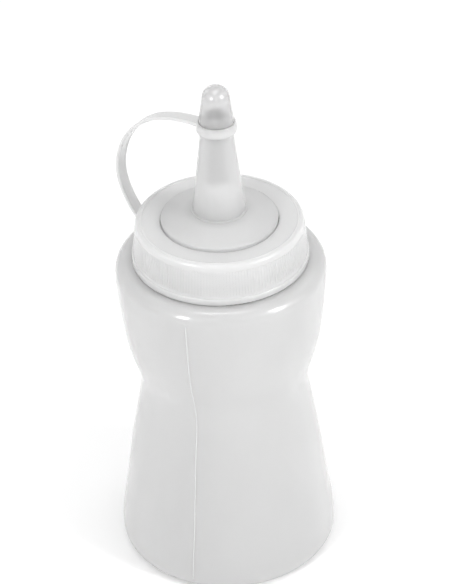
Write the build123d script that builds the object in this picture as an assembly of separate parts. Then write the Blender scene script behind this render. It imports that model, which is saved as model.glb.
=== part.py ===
from build123d import *

import os
from math import cos, radians, sin

# Squeeze bottle with a two-piece screw closure and a tethered tip cap.
# Millimetres, +Z up, origin at the centre of the base.

# --- heights
LIP_Z = 143.15
SHOULDER_Z = 129.95
CLOSURE_TOP_Z = 146.5
NOZZLE_FOOT_Z = 150.9
NOZZLE_TIP_Z = 191.0
TIP_CAP_FOOT_Z = 184.4
TIP_CAP_TOP_Z = 202.6

# --- bottle: the outline's points are radius and height
BASE_R = 42.35
HEEL_R = 4.0
STANDING_RING_WIDTH = 4.3
PUSH_UP = 3.2
BODY_WALL = 1.1
FLOOR_WALL = 1.5
BODY_OUTLINE = [
    (40.4, 20.3),
    (38.3, 35.0),
    (36.1, 49.7),
    (33.6, 64.3),
    (32.3, 75.5),
    (33.5, 83.5),
    (35.4, 89.8),
    (37.4, 99.6),
    (38.5, 109.3),
]
SHOULDER_R = 39.5
SHOULDER_ROUND = 4.8
NECK_R = 28.05
NECK_BORE_R = 26.6
NECK_FILLET = 1.3
LIP_ROUND = 0.5

# --- screw thread, right-handed, the same lead on the neck and in the collar
PITCH = 4.2
TURNS = 1.25
NECK_THREAD_Z = 134.2
NECK_CREST_R = 29.2
COLLAR_CREST_R = 28.4
RIDGE_FOOT = 2.2
RIDGE_CREST = 0.9
ROOT_SINK = 0.4

# --- screw collar
COLLAR_FOOT_Z = 130.17
COLLAR_FOOT_R = 33.0
BEAD_HEIGHT = 2.88
SKIRT_FOOT_R = 32.45
SKIRT_TOP_R = 31.05
BEAD_ROUND = 0.5
BEAD_HEAD_ROUND = 0.6
COLLAR_EDGE_ROUND = 1.3
COLLAR_HOLE_R = 21.88
COLLAR_TOP_WALL = 1.8
COLLAR_BORE_FOOT_R = 30.5
COLLAR_BORE_TOP_R = 29.6
RIM_R = 29.2
RIM_PROUD = 0.28
RIM_HALF_WIDTH = 0.5
RIB_COUNT = 180
RIB_FOOT_Z = 134.0
RIB_HEIGHT = 10.0
RIB_PROUD = 0.18
RIB_WIDTH = 0.6
RIB_BURY = 0.5

# --- spout
FLANGE_R = 29.2
SEAT_GAP = 0.05
DISC_R = 21.8
DISC_STEP = 1.2
DISC_EDGE_ROUND = 0.6
SPOUT_WALL = 1.4
NOZZLE_FOOT_R = 9.84
NOZZLE_TIP_R = 5.2
NOZZLE_TIP_ROUND = 0.7
NOZZLE_TIP_ARC_R = 0.735
FOOT_RING_R = 10.45
FOOT_RING_LOW = 0.1
FOOT_RING_SIDE = 0.4
FOOT_RING_HIGH = 0.7
FOOT_RING_ROUND = 0.75
BORE_TIP_R = 2.6
BORE_THROAT_R = 3.4
BORE_MOUTH_R = 7.9
THROAT_Z = 167.0
FUNNEL_FLARE = 1.2

# --- tip cap
CAP_FOOT_R = 7.0
CAP_SHOULDER_Z = 198.5
CAP_SHOULDER_R = 5.05
CAP_DOME_POINT = (3.9, 201.1)
CAP_WALL = 1.1
CAP_TOP_WALL = 1.43
CAP_FOOT_ROUND = 0.3
CAP_SEAT_GAP = 0.08
CAP_STOP_Z = 191.4
CAP_STEP_Z = 196.3
CAP_STEP = 0.35

# --- tether: the line's points are distance from the axis and height
BAND_FOOT_Z = 184.7
BAND_HEIGHT = 3.8
BAND_R = 7.45
BAND_GAP = 0.05
BAND_FOOT_LIP = 0.2
BAND_HEAD_LIP = 0.25
BAND_CROWN_HEIGHT = 1.25
STRAP_AZIMUTH = 143.0
STRAP_WIDTH = 5.2
STRAP_THICKNESS = 1.3
STRAP_LINE = [
    (32.9, 131.8),
    (36.2, 133.3),
    (40.3, 137.9),
    (43.9, 144.6),
    (45.5, 151.5),
    (44.9, 158.8),
    (42.0, 166.8),
    (36.6, 174.2),
    (29.4, 179.9),
    (21.9, 183.1),
    (14.6, 184.7),
    (7.8, 185.4),
]


def turned(*edges):
    """The solid that a closed outline of radius and height makes about Z."""
    return revolve(Plane.XZ * make_face(list(edges)), Axis.Z)


def polyline(*points):
    """Straight edges from point to point."""
    return [Line(start, end) for start, end in zip(points, points[1:])]


def taper(z, low, high):
    """The radius at height z on the straight side through low and high."""
    share = (z - low[1]) / (high[1] - low[1])
    return low[0] + (high[0] - low[0]) * share


def nozzle_r(z):
    """The nozzle's outer radius."""
    return taper(z, (NOZZLE_FOOT_R, NOZZLE_FOOT_Z), (NOZZLE_TIP_R, NOZZLE_TIP_Z))


def cap_r(z):
    """The tip cap's outer radius below its dome."""
    return taper(z, (CAP_FOOT_R, TIP_CAP_FOOT_Z), (CAP_SHOULDER_R, CAP_SHOULDER_Z))


def skirt_r(z):
    """The collar's outer radius above its foot bead."""
    low = (SKIRT_FOOT_R, COLLAR_FOOT_Z + BEAD_HEIGHT)
    return taper(z, low, (SKIRT_TOP_R, CLOSURE_TOP_Z))


def body_side(offset):
    """The bottle's side from the heel to the shoulder, moved outwards by offset."""
    foot = (BASE_R + offset, HEEL_R)
    head = (SHOULDER_R + offset, SHOULDER_Z - SHOULDER_ROUND)
    middle = [(r + offset, z) for r, z in BODY_OUTLINE]
    return Spline(foot, *middle, head, tangents=[(0, 1), (0, 1)])


def thread_ridge(root_r, crest_r, z, turns, start_angle):
    """A helical ridge of trapezoid section between two radii."""
    path = Helix(pitch=PITCH, height=PITCH * turns, radius=root_r)
    path = Pos(0, 0, z) * Rot(0, 0, start_angle) * path
    outward = Vector(cos(radians(start_angle)), sin(radians(start_angle)), 0)
    section_plane = Plane(origin=path @ 0, x_dir=outward, z_dir=path % 0)
    reach = crest_r - root_r
    section = make_face(
        polyline(
            (0, -RIDGE_FOOT / 2),
            (reach, -RIDGE_CREST / 2),
            (reach, RIDGE_CREST / 2),
            (0, RIDGE_FOOT / 2),
            (0, -RIDGE_FOOT / 2),
        )
    )
    return sweep(section_plane * section, path=path, is_frenet=True)


def bottle_wall():
    """Base with push-up, hourglass side, flat shoulder and neck, all one wall."""
    ring_out = BASE_R - HEEL_R
    ring_in = ring_out - STANDING_RING_WIDTH
    side_r, side_z = SHOULDER_R, SHOULDER_Z - SHOULDER_ROUND
    flat_r = SHOULDER_R - SHOULDER_ROUND
    neck_foot_z = SHOULDER_Z + NECK_FILLET
    sphere_r = (ring_in**2 + PUSH_UP**2) / (2 * PUSH_UP)
    outer = [
        RadiusArc((0, PUSH_UP), (ring_in, 0), sphere_r),
        Line((ring_in, 0), (ring_out, 0)),
        RadiusArc((ring_out, 0), (BASE_R, HEEL_R), -HEEL_R),
        body_side(0),
        RadiusArc((side_r, side_z), (flat_r, SHOULDER_Z), -SHOULDER_ROUND),
        Line((flat_r, SHOULDER_Z), (NECK_R + NECK_FILLET, SHOULDER_Z)),
        RadiusArc((NECK_R + NECK_FILLET, SHOULDER_Z), (NECK_R, neck_foot_z), NECK_FILLET),
        Line((NECK_R, neck_foot_z), (NECK_R, LIP_Z - LIP_ROUND)),
        RadiusArc((NECK_R, LIP_Z - LIP_ROUND), (NECK_R - LIP_ROUND, LIP_Z), -LIP_ROUND),
        Line((NECK_R - LIP_ROUND, LIP_Z), (NECK_BORE_R, LIP_Z)),
    ]
    wall = BODY_WALL
    under_z = SHOULDER_Z - wall
    inner = [
        Line((NECK_BORE_R, LIP_Z), (NECK_BORE_R, under_z + wall)),
        RadiusArc((NECK_BORE_R, under_z + wall), (NECK_BORE_R + wall, under_z), -wall),
        Line((NECK_BORE_R + wall, under_z), (flat_r, under_z)),
        RadiusArc((flat_r, under_z), (side_r - wall, side_z), SHOULDER_ROUND - wall),
        body_side(-wall),
        RadiusArc((BASE_R - wall, HEEL_R), (ring_out, wall), HEEL_R - wall),
        Line((ring_out, wall), (ring_in, FLOOR_WALL)),
        RadiusArc((ring_in, FLOOR_WALL), (0, PUSH_UP + FLOOR_WALL), -sphere_r),
        Line((0, PUSH_UP + FLOOR_WALL), (0, PUSH_UP)),
    ]
    return turned(*outer, *inner)


def bottle():
    """The wall with the neck's thread."""
    ridge = thread_ridge(NECK_R - ROOT_SINK, NECK_CREST_R, NECK_THREAD_Z, TURNS, 0)
    return bottle_wall() + ridge


def collar_ring():
    """The collar without its thread and grip: bead, skirt, rounded edge and rim line."""
    foot, top = COLLAR_FOOT_Z, CLOSURE_TOP_Z
    bead_in = COLLAR_FOOT_R - BEAD_ROUND
    bead_top = foot + BEAD_HEIGHT
    edge_z = top - COLLAR_EDGE_ROUND
    edge_r = skirt_r(edge_z)
    flat_r = edge_r - COLLAR_EDGE_ROUND
    under_z = top - COLLAR_TOP_WALL
    rim_out, rim_in = RIM_R + RIM_HALF_WIDTH, RIM_R - RIM_HALF_WIDTH
    hole_out = COLLAR_HOLE_R + BEAD_ROUND
    hole_z = top - BEAD_ROUND
    return turned(
        Line((COLLAR_BORE_FOOT_R, foot), (bead_in, foot)),
        RadiusArc((bead_in, foot), (COLLAR_FOOT_R, foot + BEAD_ROUND), -BEAD_ROUND),
        Line((COLLAR_FOOT_R, foot + BEAD_ROUND), (COLLAR_FOOT_R, bead_top - BEAD_ROUND)),
        RadiusArc((COLLAR_FOOT_R, bead_top - BEAD_ROUND), (SKIRT_FOOT_R, bead_top), -BEAD_HEAD_ROUND),
        Line((SKIRT_FOOT_R, bead_top), (edge_r, edge_z)),
        RadiusArc((edge_r, edge_z), (flat_r, top), -COLLAR_EDGE_ROUND),
        Line((flat_r, top), (rim_out, top)),
        ThreePointArc((rim_out, top), (RIM_R, top + RIM_PROUD), (rim_in, top)),
        Line((rim_in, top), (hole_out, top)),
        RadiusArc((hole_out, top), (COLLAR_HOLE_R, hole_z), -BEAD_ROUND),
        *polyline(
            (COLLAR_HOLE_R, hole_z),
            (COLLAR_HOLE_R, under_z),
            (COLLAR_BORE_TOP_R, under_z),
            (COLLAR_BORE_FOOT_R, foot),
        ),
    )


def grip_ribs():
    """Fine upright ribs round the skirt, each leaning with the skirt's taper."""
    head_z = RIB_FOOT_Z + RIB_HEIGHT
    foot_r, head_r = skirt_r(RIB_FOOT_Z), skirt_r(head_z)
    side = make_face(
        polyline(
            (foot_r - RIB_BURY, RIB_FOOT_Z),
            (foot_r + RIB_PROUD, RIB_FOOT_Z + RIB_PROUD),
            (head_r + RIB_PROUD, head_z - RIB_PROUD),
            (head_r - RIB_BURY, head_z),
            (foot_r - RIB_BURY, RIB_FOOT_Z),
        )
    )
    rib = extrude(Plane.XZ * side, amount=RIB_WIDTH / 2, both=True)
    return [Rot(0, 0, 360 * i / RIB_COUNT) * rib for i in range(RIB_COUNT)]


def screw_collar():
    """The ring with its grip and its inside thread, half a pitch below the neck's."""
    root_r = COLLAR_BORE_TOP_R + ROOT_SINK
    z = NECK_THREAD_Z - PITCH / 2
    ridge = thread_ridge(root_r, COLLAR_CREST_R, z, TURNS, 0)
    return collar_ring() + grip_ribs() + ridge


def spout():
    """Flange under the collar, sloping disc, foot ring and bored nozzle, all one piece."""
    flange_foot_z = LIP_Z + SEAT_GAP
    flange_top_z = CLOSURE_TOP_Z - COLLAR_TOP_WALL - SEAT_GAP
    disc_z = CLOSURE_TOP_Z + DISC_STEP
    disc_in = DISC_R - DISC_EDGE_ROUND
    disc_side_z = disc_z - DISC_EDGE_ROUND
    ring_low = (FOOT_RING_R, NOZZLE_FOOT_Z + FOOT_RING_LOW)
    ring_side = (FOOT_RING_R, NOZZLE_FOOT_Z + FOOT_RING_SIDE)
    ring_high_z = NOZZLE_FOOT_Z + FOOT_RING_HIGH
    ring_high = (nozzle_r(ring_high_z), ring_high_z)
    tip_side_z = NOZZLE_TIP_Z - NOZZLE_TIP_ROUND
    tip_side = (nozzle_r(tip_side_z), tip_side_z)
    tip_flat = (NOZZLE_TIP_R - NOZZLE_TIP_ROUND, NOZZLE_TIP_Z)
    under_r = DISC_R - SPOUT_WALL
    return turned(
        *polyline(
            (under_r, flange_foot_z),
            (FLANGE_R, flange_foot_z),
            (FLANGE_R, flange_top_z),
            (DISC_R, flange_top_z),
            (DISC_R, disc_side_z),
        ),
        RadiusArc((DISC_R, disc_side_z), (disc_in, disc_z), -DISC_EDGE_ROUND),
        *polyline((disc_in, disc_z), ring_low, ring_side),
        RadiusArc(ring_side, ring_high, -FOOT_RING_ROUND),
        Line(ring_high, tip_side),
        RadiusArc(tip_side, tip_flat, -NOZZLE_TIP_ARC_R),
        *polyline(
            tip_flat,
            (BORE_TIP_R, NOZZLE_TIP_Z),
            (BORE_THROAT_R, THROAT_Z),
            (BORE_MOUTH_R, NOZZLE_FOOT_Z),
            (BORE_MOUTH_R + FUNNEL_FLARE, NOZZLE_FOOT_Z - SPOUT_WALL),
            (under_r, disc_z - SPOUT_WALL),
            (under_r, flange_foot_z),
        ),
    )


def tip_cap():
    """Tapered cap with a domed top, a stepped bore and a seat on the nozzle's end."""
    foot_bore = (nozzle_r(TIP_CAP_FOOT_Z) + CAP_SEAT_GAP, TIP_CAP_FOOT_Z)
    foot_flat = (CAP_FOOT_R - CAP_FOOT_ROUND, TIP_CAP_FOOT_Z)
    foot_side_z = TIP_CAP_FOOT_Z + CAP_FOOT_ROUND
    foot_side = (cap_r(foot_side_z), foot_side_z)
    shoulder = (CAP_SHOULDER_R, CAP_SHOULDER_Z)
    cavity_top = (0, TIP_CAP_TOP_Z - CAP_TOP_WALL)
    cavity_shoulder = (CAP_SHOULDER_R - CAP_WALL - CAP_STEP, CAP_SHOULDER_Z)
    step_r = cap_r(CAP_STEP_Z) - CAP_WALL
    lean = CAP_SHOULDER_R - cap_r(CAP_SHOULDER_Z - 1)
    return turned(
        Line(foot_bore, foot_flat),
        RadiusArc(foot_flat, foot_side, -CAP_FOOT_ROUND),
        Line(foot_side, shoulder),
        Spline(shoulder, CAP_DOME_POINT, (0, TIP_CAP_TOP_Z), tangents=[(lean, 1), (-1, 0)]),
        Line((0, TIP_CAP_TOP_Z), cavity_top),
        Spline(cavity_top, cavity_shoulder, tangents=[(1, 0), (-lean, -1)]),
        *polyline(
            cavity_shoulder,
            (step_r - CAP_STEP, CAP_STEP_Z + CAP_STEP),
            (step_r, CAP_STEP_Z),
            (cap_r(CAP_STOP_Z) - CAP_WALL, CAP_STOP_Z),
            (nozzle_r(CAP_STOP_Z) + CAP_SEAT_GAP, CAP_STOP_Z),
            foot_bore,
        ),
    )


def tether_ring():
    """The band that grips the tip cap: tapered bore, crowned outside."""
    foot, head = BAND_FOOT_Z, BAND_FOOT_Z + BAND_HEIGHT
    foot_bore = (cap_r(foot) + BAND_GAP, foot)
    head_bore = (cap_r(head) + BAND_GAP, head)
    foot_lip = (foot_bore[0] + BAND_FOOT_LIP, foot)
    head_lip = (head_bore[0] + BAND_HEAD_LIP, head)
    crown = (BAND_R, foot + BAND_CROWN_HEIGHT)
    return turned(
        Line(foot_bore, foot_lip),
        Spline(foot_lip, crown, head_lip, tangents=[(1, 1), (-0.6, 1)]),
        *polyline(head_lip, head_bore, foot_bore),
    )


def tether_strap():
    """A flat ribbon in the upright plane at the strap's azimuth."""
    middle = Spline(*STRAP_LINE)
    half = STRAP_THICKNESS / 2
    stations = [i / (len(STRAP_LINE) - 1) for i in range(len(STRAP_LINE))]
    normals = [(middle % s).rotate(Axis.Z, 90) for s in stations]
    above = Spline(*[(middle @ s) - n * half for s, n in zip(stations, normals)])
    below = Spline(*[(middle @ s) + n * half for s, n in zip(stations, normals)])
    edge = make_face([above, below, Line(above @ 0, below @ 0), Line(above @ 1, below @ 1)])
    ribbon = extrude(Plane.XZ * edge, amount=STRAP_WIDTH / 2, both=True)
    return Rot(0, 0, STRAP_AZIMUTH) * ribbon


os.makedirs("parts", exist_ok=True)
PIECES = {
    "bottle": bottle,
    "spout": spout,
    "screw_collar": screw_collar,
    "tip_cap": tip_cap,
    "tether_ring": tether_ring,
    "tether_strap": tether_strap,
}
for name, make in PIECES.items():
    export_step(make(), f"parts/{name}.step")
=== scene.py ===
import math

import bmesh
import bpy
from mathutils import Matrix, Vector


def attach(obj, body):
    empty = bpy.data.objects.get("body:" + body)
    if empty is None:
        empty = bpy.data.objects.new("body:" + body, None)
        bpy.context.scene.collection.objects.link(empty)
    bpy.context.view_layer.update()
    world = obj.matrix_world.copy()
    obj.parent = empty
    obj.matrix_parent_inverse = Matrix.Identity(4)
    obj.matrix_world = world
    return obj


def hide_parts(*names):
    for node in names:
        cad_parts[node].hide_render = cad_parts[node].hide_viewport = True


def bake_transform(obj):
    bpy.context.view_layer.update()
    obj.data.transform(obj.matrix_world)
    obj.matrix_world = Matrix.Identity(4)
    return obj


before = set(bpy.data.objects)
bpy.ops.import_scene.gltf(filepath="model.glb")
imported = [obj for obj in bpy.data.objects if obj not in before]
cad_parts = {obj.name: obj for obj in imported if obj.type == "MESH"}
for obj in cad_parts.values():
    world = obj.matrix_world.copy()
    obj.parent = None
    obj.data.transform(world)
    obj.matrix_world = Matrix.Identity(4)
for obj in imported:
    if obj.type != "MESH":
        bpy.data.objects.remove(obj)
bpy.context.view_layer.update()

# Looks for the squeeze bottle: milky plastic, the flexible tether, floor, light and camera. Metres.
MM = 0.001

# --- camera: the eye sits on a line that leans ELEVATION above the horizon, seen from -Y
ELEVATION = math.radians(35.5)
ROLL = math.radians(1.77)
DISTANCE = 0.8802
SIDE_STEP = 0.00156
LOOK_LOW = 0.02471
EXTRA_DROP = math.radians(0.17)
LENS_MM = 147.36
SENSOR_MM = 36.0
CLIP_NEAR, CLIP_FAR = 0.05, 50
CLOSURE_TOP = 0.1465

# --- tether: the CAD ribbon's line, a little longer at both ends so that it sinks into the collar
# and the ring. Distance from the axis and height, in millimetres
STRAP_AZIMUTH = math.radians(143)
STRAP_LINE = [
    (32.6, 131.7),
    (36.2, 133.3),
    (40.3, 137.9),
    (43.9, 144.6),
    (45.5, 151.5),
    (44.9, 158.8),
    (42.0, 166.8),
    (36.6, 174.2),
    (29.4, 179.9),
    (21.9, 183.1),
    (14.6, 184.7),
    (7.1, 185.5),
]
STRAP_WIDTH = 5.2 * MM
STRAP_THICKNESS = 1.25 * MM
STRAP_RIM = 0.7 * MM
STRAP_DISH = 0.22 * MM
# the section from the middle of a broad face to its side: flat floor, rim, nose
FLOOR_SHARE = 0.4                                 # how far out the floor's second point lies
RIM_STEPS = ((1.5, 1), (1, 0.25), (0.6, 0))       # in from the side in rims, down in dishes
NOSE_STEPS = ((0.2, 0.8), (0, 0.3))               # in from the side in rims, up in half thicknesses
ROOT_FLARE = 1.5
ROOT_THICKENING = 0.35
ROOT_FLARE_LENGTH = 4.5 * MM
RING_FLARE = 1.18
STEPS_PER_SPAN = 10

# --- mould marks on the bottle
SEAM_AZIMUTHS = {"seam_front": math.radians(250), "seam_back": math.radians(70)}
SEAM_HALF_WIDTH = 0.18 * MM
SEAM_PROUD = 0.04 * MM
SEAM_SINK = 0.03 * MM
SEAM_LOW, SEAM_HIGH = 5, 127                      # millimetres above the floor
SEAM_CAST_FROM = 80                               # millimetres from the axis
SEAM_FADE = 6                                     # points over which an end fades out
RIDGE_STEPS = 8
PINCH_HALF_WIDTH = 0.6 * MM
PINCH_PROUD = 0.35 * MM
PINCH_REACH = 31 * MM
PINCH_STEPS = 40
PINCH_CAST_DROP = 50 * MM

# --- looks: base is the plastic's grey (darkened on the tether as painted shade), clear its share of
# see-through, milk its share of subsurface scattering, gloss its range of roughness, flow the stretch
# of its clouds and flow lines
PLASTIC_IOR = 1.5
SCATTER_DEPTH = 3 * MM
COAT_WEIGHT, COAT_ROUGHNESS = 0.8, 0.1
CLOUD_SCALE, CLOUD_DETAIL, CLOUD_DEPTH = 30.0, 3, 0.03
GLOSS_SCALE, SKIN_SCALE, FINE_DETAIL = CLOUD_SCALE * 2, CLOUD_SCALE * 8, 2
SKIN_BUMP = 0.012 * MM
# the spout's painted shade and light: the walls of the bore painted dark as painted shade, which
# shows through as a shadow, and the disc painted paler as painted light
BORE_R = 3.6 * MM
BORE_SOFT = 0.9 * MM
# painted shade: the near-black grey on the bore's walls
BORE_SHADE = 0.04
DISC_FROM = (10 * MM, 14 * MM)
# painted light: the paler grey on the disc, lifting the shade of the nozzle and the dark inside
# beneath
DISC_PAINTED_LIGHT = 0.985
PLASTICS = {
    "bottle_look": dict(base=0.837, clear=0.45, gloss=(0.285, 0.4), flow=(1, 1, 0.35)),
    "collar_look": dict(base=0.985, clear=0.4, gloss=(0.285, 0.36)),
    # the spout's colour carries the painted shade in the bore and the painted light on the disc
    "spout_look": dict(base=0.88, clear=0.55, gloss=(0.285, 0.33), flow=(1, 1, 0.3), paint_shade_and_light=True),
    "cap_look": dict(base=0.911, clear=0.78, gloss=(0.15, 0.24), flow=(1, 1, 0.3), milk=0.5),
    "ring_look": dict(base=0.78, clear=0.12, gloss=(0.285, 0.34)),
    "seam_look": dict(base=0.68, clear=0, gloss=(0.285, 0.4), milk=0),
    # painted shade: the strap's grey is set darker than the ring's, though both are one plastic
    "tether_look": dict(base=0.594, clear=0.05, gloss=(0.285, 0.38)),
}
WEARS = {
    "bottle": "bottle_look",
    "spout": "spout_look",
    "screw_collar": "collar_look",
    "tip_cap": "cap_look",
    "tether_ring": "ring_look",
    "tether_strap": "tether_look",
}

# --- floor and light: each softbox has its place, its width and height, and its power in watts
FLOOR_HALF = 6.0
FLOOR_GREY = 0.96
FLOOR_ROUGHNESS = 0.9
FLOOR_SPECULAR = 0.1
WORLD_STRENGTH = 0.82
LIGHT_TARGET = (0, 0, 0.12)
SOFTBOXES = {
    "softbox_right": ((0.8, -0.45, 0.62), (0.2, 0.45), 4.5),
    "softbox_left": ((-0.62, -0.7, 0.6), (0.16, 0.4), 3.5),
    "softbox_top": ((0.0, 0.12, 1.35), (0.5, 0.22), 2.2),
}


def link(item):
    bpy.context.scene.collection.objects.link(item)
    return item


def make_camera():
    """A long lens above the front, aimed a little below the closure's top and rolled slightly."""
    up = Vector((0, math.sin(ELEVATION), math.cos(ELEVATION)))
    back = Vector((0, -math.cos(ELEVATION), math.sin(ELEVATION)))
    right = Vector((1, 0, 0))
    eye = Vector((0, 0, CLOSURE_TOP)) + right * SIDE_STEP - up * LOOK_LOW + back * DISTANCE
    lowered = Matrix.Rotation(-EXTRA_DROP, 3, right)
    up, back = lowered @ up, lowered @ back
    rolled_right = right * math.cos(ROLL) - up * math.sin(ROLL)
    rolled_up = right * math.sin(ROLL) + up * math.cos(ROLL)
    data = bpy.data.cameras.new("camera")
    data.lens = LENS_MM
    data.sensor_width = SENSOR_MM
    data.clip_start = CLIP_NEAR
    data.clip_end = CLIP_FAR
    camera = link(bpy.data.objects.new("camera", data))
    turn = Matrix((rolled_right, rolled_up, back)).transposed()
    camera.matrix_world = Matrix.Translation(eye) @ turn.to_4x4()
    bpy.context.scene.camera = camera


# --- materials

def add_noise(tree, coords, scale, detail, stretch=(1, 1, 1)):
    """A noise texture in object coordinates, stretched by a mapping."""
    mapping = tree.nodes.new("ShaderNodeMapping")
    mapping.inputs["Scale"].default_value = stretch
    noise = tree.nodes.new("ShaderNodeTexNoise")
    noise.inputs["Scale"].default_value = scale
    noise.inputs["Detail"].default_value = detail
    tree.links.new(coords.outputs["Object"], mapping.inputs["Vector"])
    tree.links.new(mapping.outputs["Vector"], noise.inputs["Vector"])
    return noise.outputs["Fac"]


def add_range(tree, value, low, high, from_low=0.3, from_high=0.7):
    """A value mapped smoothly to the range from low to high."""
    ranged = tree.nodes.new("ShaderNodeMapRange")
    ranged.interpolation_type = "SMOOTHSTEP"
    ranged.inputs["From Min"].default_value = from_low
    ranged.inputs["From Max"].default_value = from_high
    ranged.inputs["To Min"].default_value = low
    ranged.inputs["To Max"].default_value = high
    tree.links.new(value, ranged.inputs["Value"])
    return ranged.outputs["Result"]


def add_mix(tree, name, factor, low, high):
    """A colour that goes from low to high, each a grey or another node's colour."""
    mix = tree.nodes.new("ShaderNodeMix")
    mix.name = name
    mix.data_type = "RGBA"
    tree.links.new(factor, mix.inputs["Factor"])
    for socket, value in (("A", low), ("B", high)):
        if isinstance(value, float):
            mix.inputs[socket].default_value = (value, value, value, 1)
        else:
            tree.links.new(value, mix.inputs[socket])
    return mix.outputs["Result"]


def add_painted_shade_and_light(tree, coords, colour):
    """The colour with painted shade and light: dark in the bore as painted shade, which shows through
    as a soft shadow, and paler on the disc as painted light.
    """
    flat = tree.nodes.new("ShaderNodeVectorMath")
    flat.operation = "MULTIPLY"
    flat.inputs[1].default_value = (1, 1, 0)
    radius = tree.nodes.new("ShaderNodeVectorMath")
    radius.operation = "LENGTH"
    tree.links.new(coords.outputs["Object"], flat.inputs[0])
    tree.links.new(flat.outputs["Vector"], radius.inputs[0])
    # painted shade: dark on the walls of the bore
    bore_shade_mask = add_range(tree, radius.outputs["Value"], 1, 0, BORE_R, BORE_R + BORE_SOFT)
    # painted light: paler on the disc
    disc = add_range(tree, radius.outputs["Value"], 0, 1, *DISC_FROM)
    paler = add_mix(tree, "disc", disc, colour, DISC_PAINTED_LIGHT)
    return add_mix(tree, "bore", bore_shade_mask, paler, BORE_SHADE)


def milky(name, base, clear, gloss, flow=(1, 1, 1), milk=1.0, paint_shade_and_light=False):
    """Natural polyethylene: cloudy colour, uneven gloss, and a faint skin of flow lines and grain."""
    material = bpy.data.materials.new(name)
    material.use_nodes = True
    tree = material.node_tree
    shader = tree.nodes["Principled BSDF"]
    shader.inputs["IOR"].default_value = PLASTIC_IOR
    shader.inputs["Transmission Weight"].default_value = clear
    shader.inputs["Subsurface Weight"].default_value = milk
    shader.inputs["Subsurface Radius"].default_value = (1, 1, 1)
    shader.inputs["Subsurface Scale"].default_value = SCATTER_DEPTH
    shader.inputs["Coat Weight"].default_value = COAT_WEIGHT
    shader.inputs["Coat Roughness"].default_value = COAT_ROUGHNESS
    coords = tree.nodes.new("ShaderNodeTexCoord")
    clouds = add_noise(tree, coords, CLOUD_SCALE, CLOUD_DETAIL, flow)
    colour = add_mix(tree, "clouds", add_range(tree, clouds, 0, 1), base - CLOUD_DEPTH, base)
    # painted shade in the bore and painted light on the disc, by distance from the axis
    if paint_shade_and_light:
        colour = add_painted_shade_and_light(tree, coords, colour)
    tree.links.new(colour, shader.inputs["Base Color"])
    uneven = add_noise(tree, coords, GLOSS_SCALE, FINE_DETAIL)
    tree.links.new(add_range(tree, uneven, *gloss, 0, 1), shader.inputs["Roughness"])
    skin = add_noise(tree, coords, SKIN_SCALE, FINE_DETAIL, flow)
    bumped = tree.nodes.new("ShaderNodeBump")
    bumped.inputs["Strength"].default_value = 1.0
    bumped.inputs["Distance"].default_value = SKIN_BUMP
    tree.links.new(skin, bumped.inputs["Height"])
    tree.links.new(bumped.outputs["Normal"], shader.inputs["Normal"])
    return material


def dress(item, material):
    item.data.materials.clear()
    item.data.materials.append(material)


# --- pieces

def ribbon(name, centres, sections):
    """A closed skin through one ring of points per centre, capped at both ends."""
    verts = [point for ring in sections for point in ring]
    count = len(sections[0])
    faces = []
    for i in range(len(sections) - 1):
        for j in range(count):
            k = (j + 1) % count
            faces.append((i * count + j, i * count + k, (i + 1) * count + k, (i + 1) * count + j))
    first, last = len(verts), len(verts) + 1
    verts += [centres[0], centres[-1]]
    base = (len(sections) - 1) * count
    for j in range(count):
        k = (j + 1) % count
        faces.append((first, k, j))
        faces.append((last, base + j, base + k))
    mesh = bpy.data.meshes.new(name)
    mesh.from_pydata(verts, [], faces)
    mesh.validate()
    shape = bmesh.new()
    shape.from_mesh(mesh)
    bmesh.ops.recalc_face_normals(shape, faces=shape.faces)
    shape.to_mesh(mesh)
    shape.free()
    mesh.shade_smooth()
    return link(bpy.data.objects.new(name, mesh))


def curve_through(points, steps):
    """A Catmull-Rom curve through points of distance and height, as positions with directions."""
    padded = [2 * points[0] - points[1], *points, 2 * points[-1] - points[-2]]
    out = []
    for i in range(len(points) - 1):
        a, b, c, d = padded[i:i + 4]
        last = i == len(points) - 2
        for s in range(steps + (1 if last else 0)):
            t = s / steps
            place = 0.5 * (2 * b + (c - a) * t + (2 * a - 5 * b + 4 * c - d) * t**2
                           + (3 * b - a - 3 * c + d) * t**3)
            slope = 0.5 * ((c - a) + 2 * (2 * a - 5 * b + 4 * c - d) * t
                           + 3 * (3 * b - a - 3 * c + d) * t**2)
            out.append((place, slope.normalized()))
    return out


def strap_outline(width, thickness):
    """The strap's section: broad faces dished between two rounded rims."""
    half, edge = width / 2, thickness / 2
    floor = edge - STRAP_DISH
    rim = [(half - STRAP_RIM * inward, edge - STRAP_DISH * down) for inward, down in RIM_STEPS]
    nose = [(half - STRAP_RIM * inward, edge * up) for inward, up in NOSE_STEPS]
    quarter = [(0, floor), (half * FLOOR_SHARE, floor)] + rim + nose
    right = quarter + [(x, -y) for x, y in reversed(quarter)]
    left = [(-x, y) for x, y in reversed(right)][1:-1]
    return right + left


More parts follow.
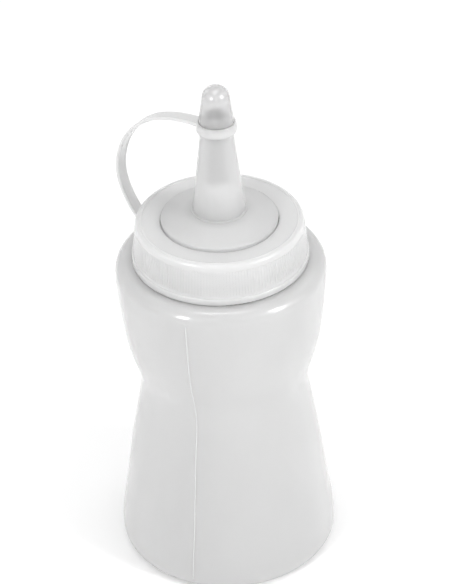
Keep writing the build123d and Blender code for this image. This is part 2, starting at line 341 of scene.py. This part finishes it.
def make_strap(material):
    """The tether: a dished ribbon along STRAP_LINE, wider where it joins the collar and the ring."""
    out = Vector((math.cos(STRAP_AZIMUTH), math.sin(STRAP_AZIMUTH), 0))
    across = Vector((-out.y, out.x, 0))
    up = Vector((0, 0, 1))
    line = curve_through([Vector(p) * MM for p in STRAP_LINE], STEPS_PER_SPAN)
    lengths = [0.0]
    for (a, _), (b, _) in zip(line, line[1:]):
        lengths.append(lengths[-1] + (b - a).length)
    centres, sections = [], []
    for (place, slope), run in zip(line, lengths):
        root = max(0.0, 1 - run / ROOT_FLARE_LENGTH) ** 2
        ring = max(0.0, 1 - (lengths[-1] - run) / ROOT_FLARE_LENGTH) ** 2
        flare = 1 + (ROOT_FLARE - 1) * root + (RING_FLARE - 1) * ring
        centre = out * place.x + up * place.y
        normal = out * -slope.y + up * slope.x
        outline = strap_outline(STRAP_WIDTH * flare, STRAP_THICKNESS * (1 + ROOT_THICKENING * root))
        centres.append(centre)
        sections.append([centre + across * x + normal * y for x, y in outline])
    strap = ribbon("tether_ribbon", centres, sections)
    dress(strap, material)
    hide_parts("tether_strap")
    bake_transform(strap)


def skin_point(node, origin, direction):
    """Where a ray first meets a CAD node, with the surface's direction there."""
    hit, place, normal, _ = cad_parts[node].ray_cast(Vector(origin), Vector(direction))
    return (place, normal) if hit else None


def ridge(name, points, half_width, proud, side, body, material):
    """A low rounded ridge along a path of surface points, sunk a little into the surface."""
    sections = []
    for i, (place, normal) in enumerate(points):
        high = proud * min(1, (i + 1) / SEAM_FADE, (len(points) - i) / SEAM_FADE)
        ring = []
        for step in range(RIDGE_STEPS + 1):
            angle = math.pi * step / RIDGE_STEPS
            ring.append(place + side * half_width * math.cos(angle) + normal * high * math.sin(angle))
        ring.append(place - side * half_width - normal * SEAM_SINK)
        ring.append(place + side * half_width - normal * SEAM_SINK)
        sections.append(ring)
    piece = ribbon(name, [sum(s, Vector()) / len(s) for s in sections], sections)
    dress(piece, material)
    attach(piece, body)


def make_seams(material):
    """The mould's parting line up each side, fading out at the heel and the shoulder."""
    for name, azimuth in SEAM_AZIMUTHS.items():
        out = Vector((math.cos(azimuth), math.sin(azimuth), 0))
        side = Vector((-out.y, out.x, 0))
        rays = [((out * SEAM_CAST_FROM + Vector((0, 0, z))) * MM, -out)
                for z in range(SEAM_LOW, SEAM_HIGH)]
        points = [hit for hit in (skin_point("bottle", *ray) for ray in rays) if hit]
        ridge(name, points, SEAM_HALF_WIDTH, SEAM_PROUD, side, "bottle", material)


def make_pinch_line(material):
    """The line where the mould pinched the tube shut, across the base's push-up."""
    azimuth = SEAM_AZIMUTHS["seam_back"]
    out = Vector((math.cos(azimuth), math.sin(azimuth), 0))
    side = Vector((-out.y, out.x, 0))
    points = []
    for i in range(PINCH_STEPS + 1):
        reach = PINCH_REACH * (2 * i / PINCH_STEPS - 1)
        hit = skin_point("bottle", out * reach - Vector((0, 0, PINCH_CAST_DROP)), Vector((0, 0, 1)))
        if hit:
            points.append(hit)
    ridge("base_pinch_line", points, PINCH_HALF_WIDTH, PINCH_PROUD, side,
          "bottle", material)


# --- stage and light

def make_floor():
    half = FLOOR_HALF
    mesh = bpy.data.meshes.new("floor")
    corners = [(-half, -half, 0), (half, -half, 0), (half, half, 0), (-half, half, 0)]
    mesh.from_pydata(corners, [], [(0, 1, 2, 3)])
    floor = link(bpy.data.objects.new("floor", mesh))
    material = bpy.data.materials.new("floor")
    material.use_nodes = True
    shader = material.node_tree.nodes["Principled BSDF"]
    shader.inputs["Base Color"].default_value = (FLOOR_GREY, FLOOR_GREY, FLOOR_GREY, 1)
    shader.inputs["Roughness"].default_value = FLOOR_ROUGHNESS
    shader.inputs["Specular IOR Level"].default_value = FLOOR_SPECULAR
    floor.data.materials.append(material)


def area_light(name, place, target, size, power):
    data = bpy.data.lights.new(name, "AREA")
    data.shape = "RECTANGLE"
    data.size, data.size_y = size
    data.energy = power
    light = link(bpy.data.objects.new(name, data))
    light.location = place
    direction = Vector(target) - Vector(place)
    light.rotation_euler = direction.to_track_quat("-Z", "Y").to_euler()


def make_world():
    world = bpy.data.worlds.new("world")
    bpy.context.scene.world = world
    world.use_nodes = True
    background = world.node_tree.nodes["Background"]
    background.inputs["Color"].default_value = (1, 1, 1, 1)
    background.inputs["Strength"].default_value = WORLD_STRENGTH


make_camera()
make_floor()
make_world()
for name, (place, size, power) in SOFTBOXES.items():
    area_light(name, place, LIGHT_TARGET, size, power)
bpy.context.scene.view_settings.view_transform = "Standard"

LOOKS = {name: milky(name, **facts) for name, facts in PLASTICS.items()}
for node, look in WEARS.items():
    dress(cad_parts[node], LOOKS[look])
make_strap(LOOKS["tether_look"])
make_seams(LOOKS["seam_look"])
make_pinch_line(LOOKS["bottle_look"])
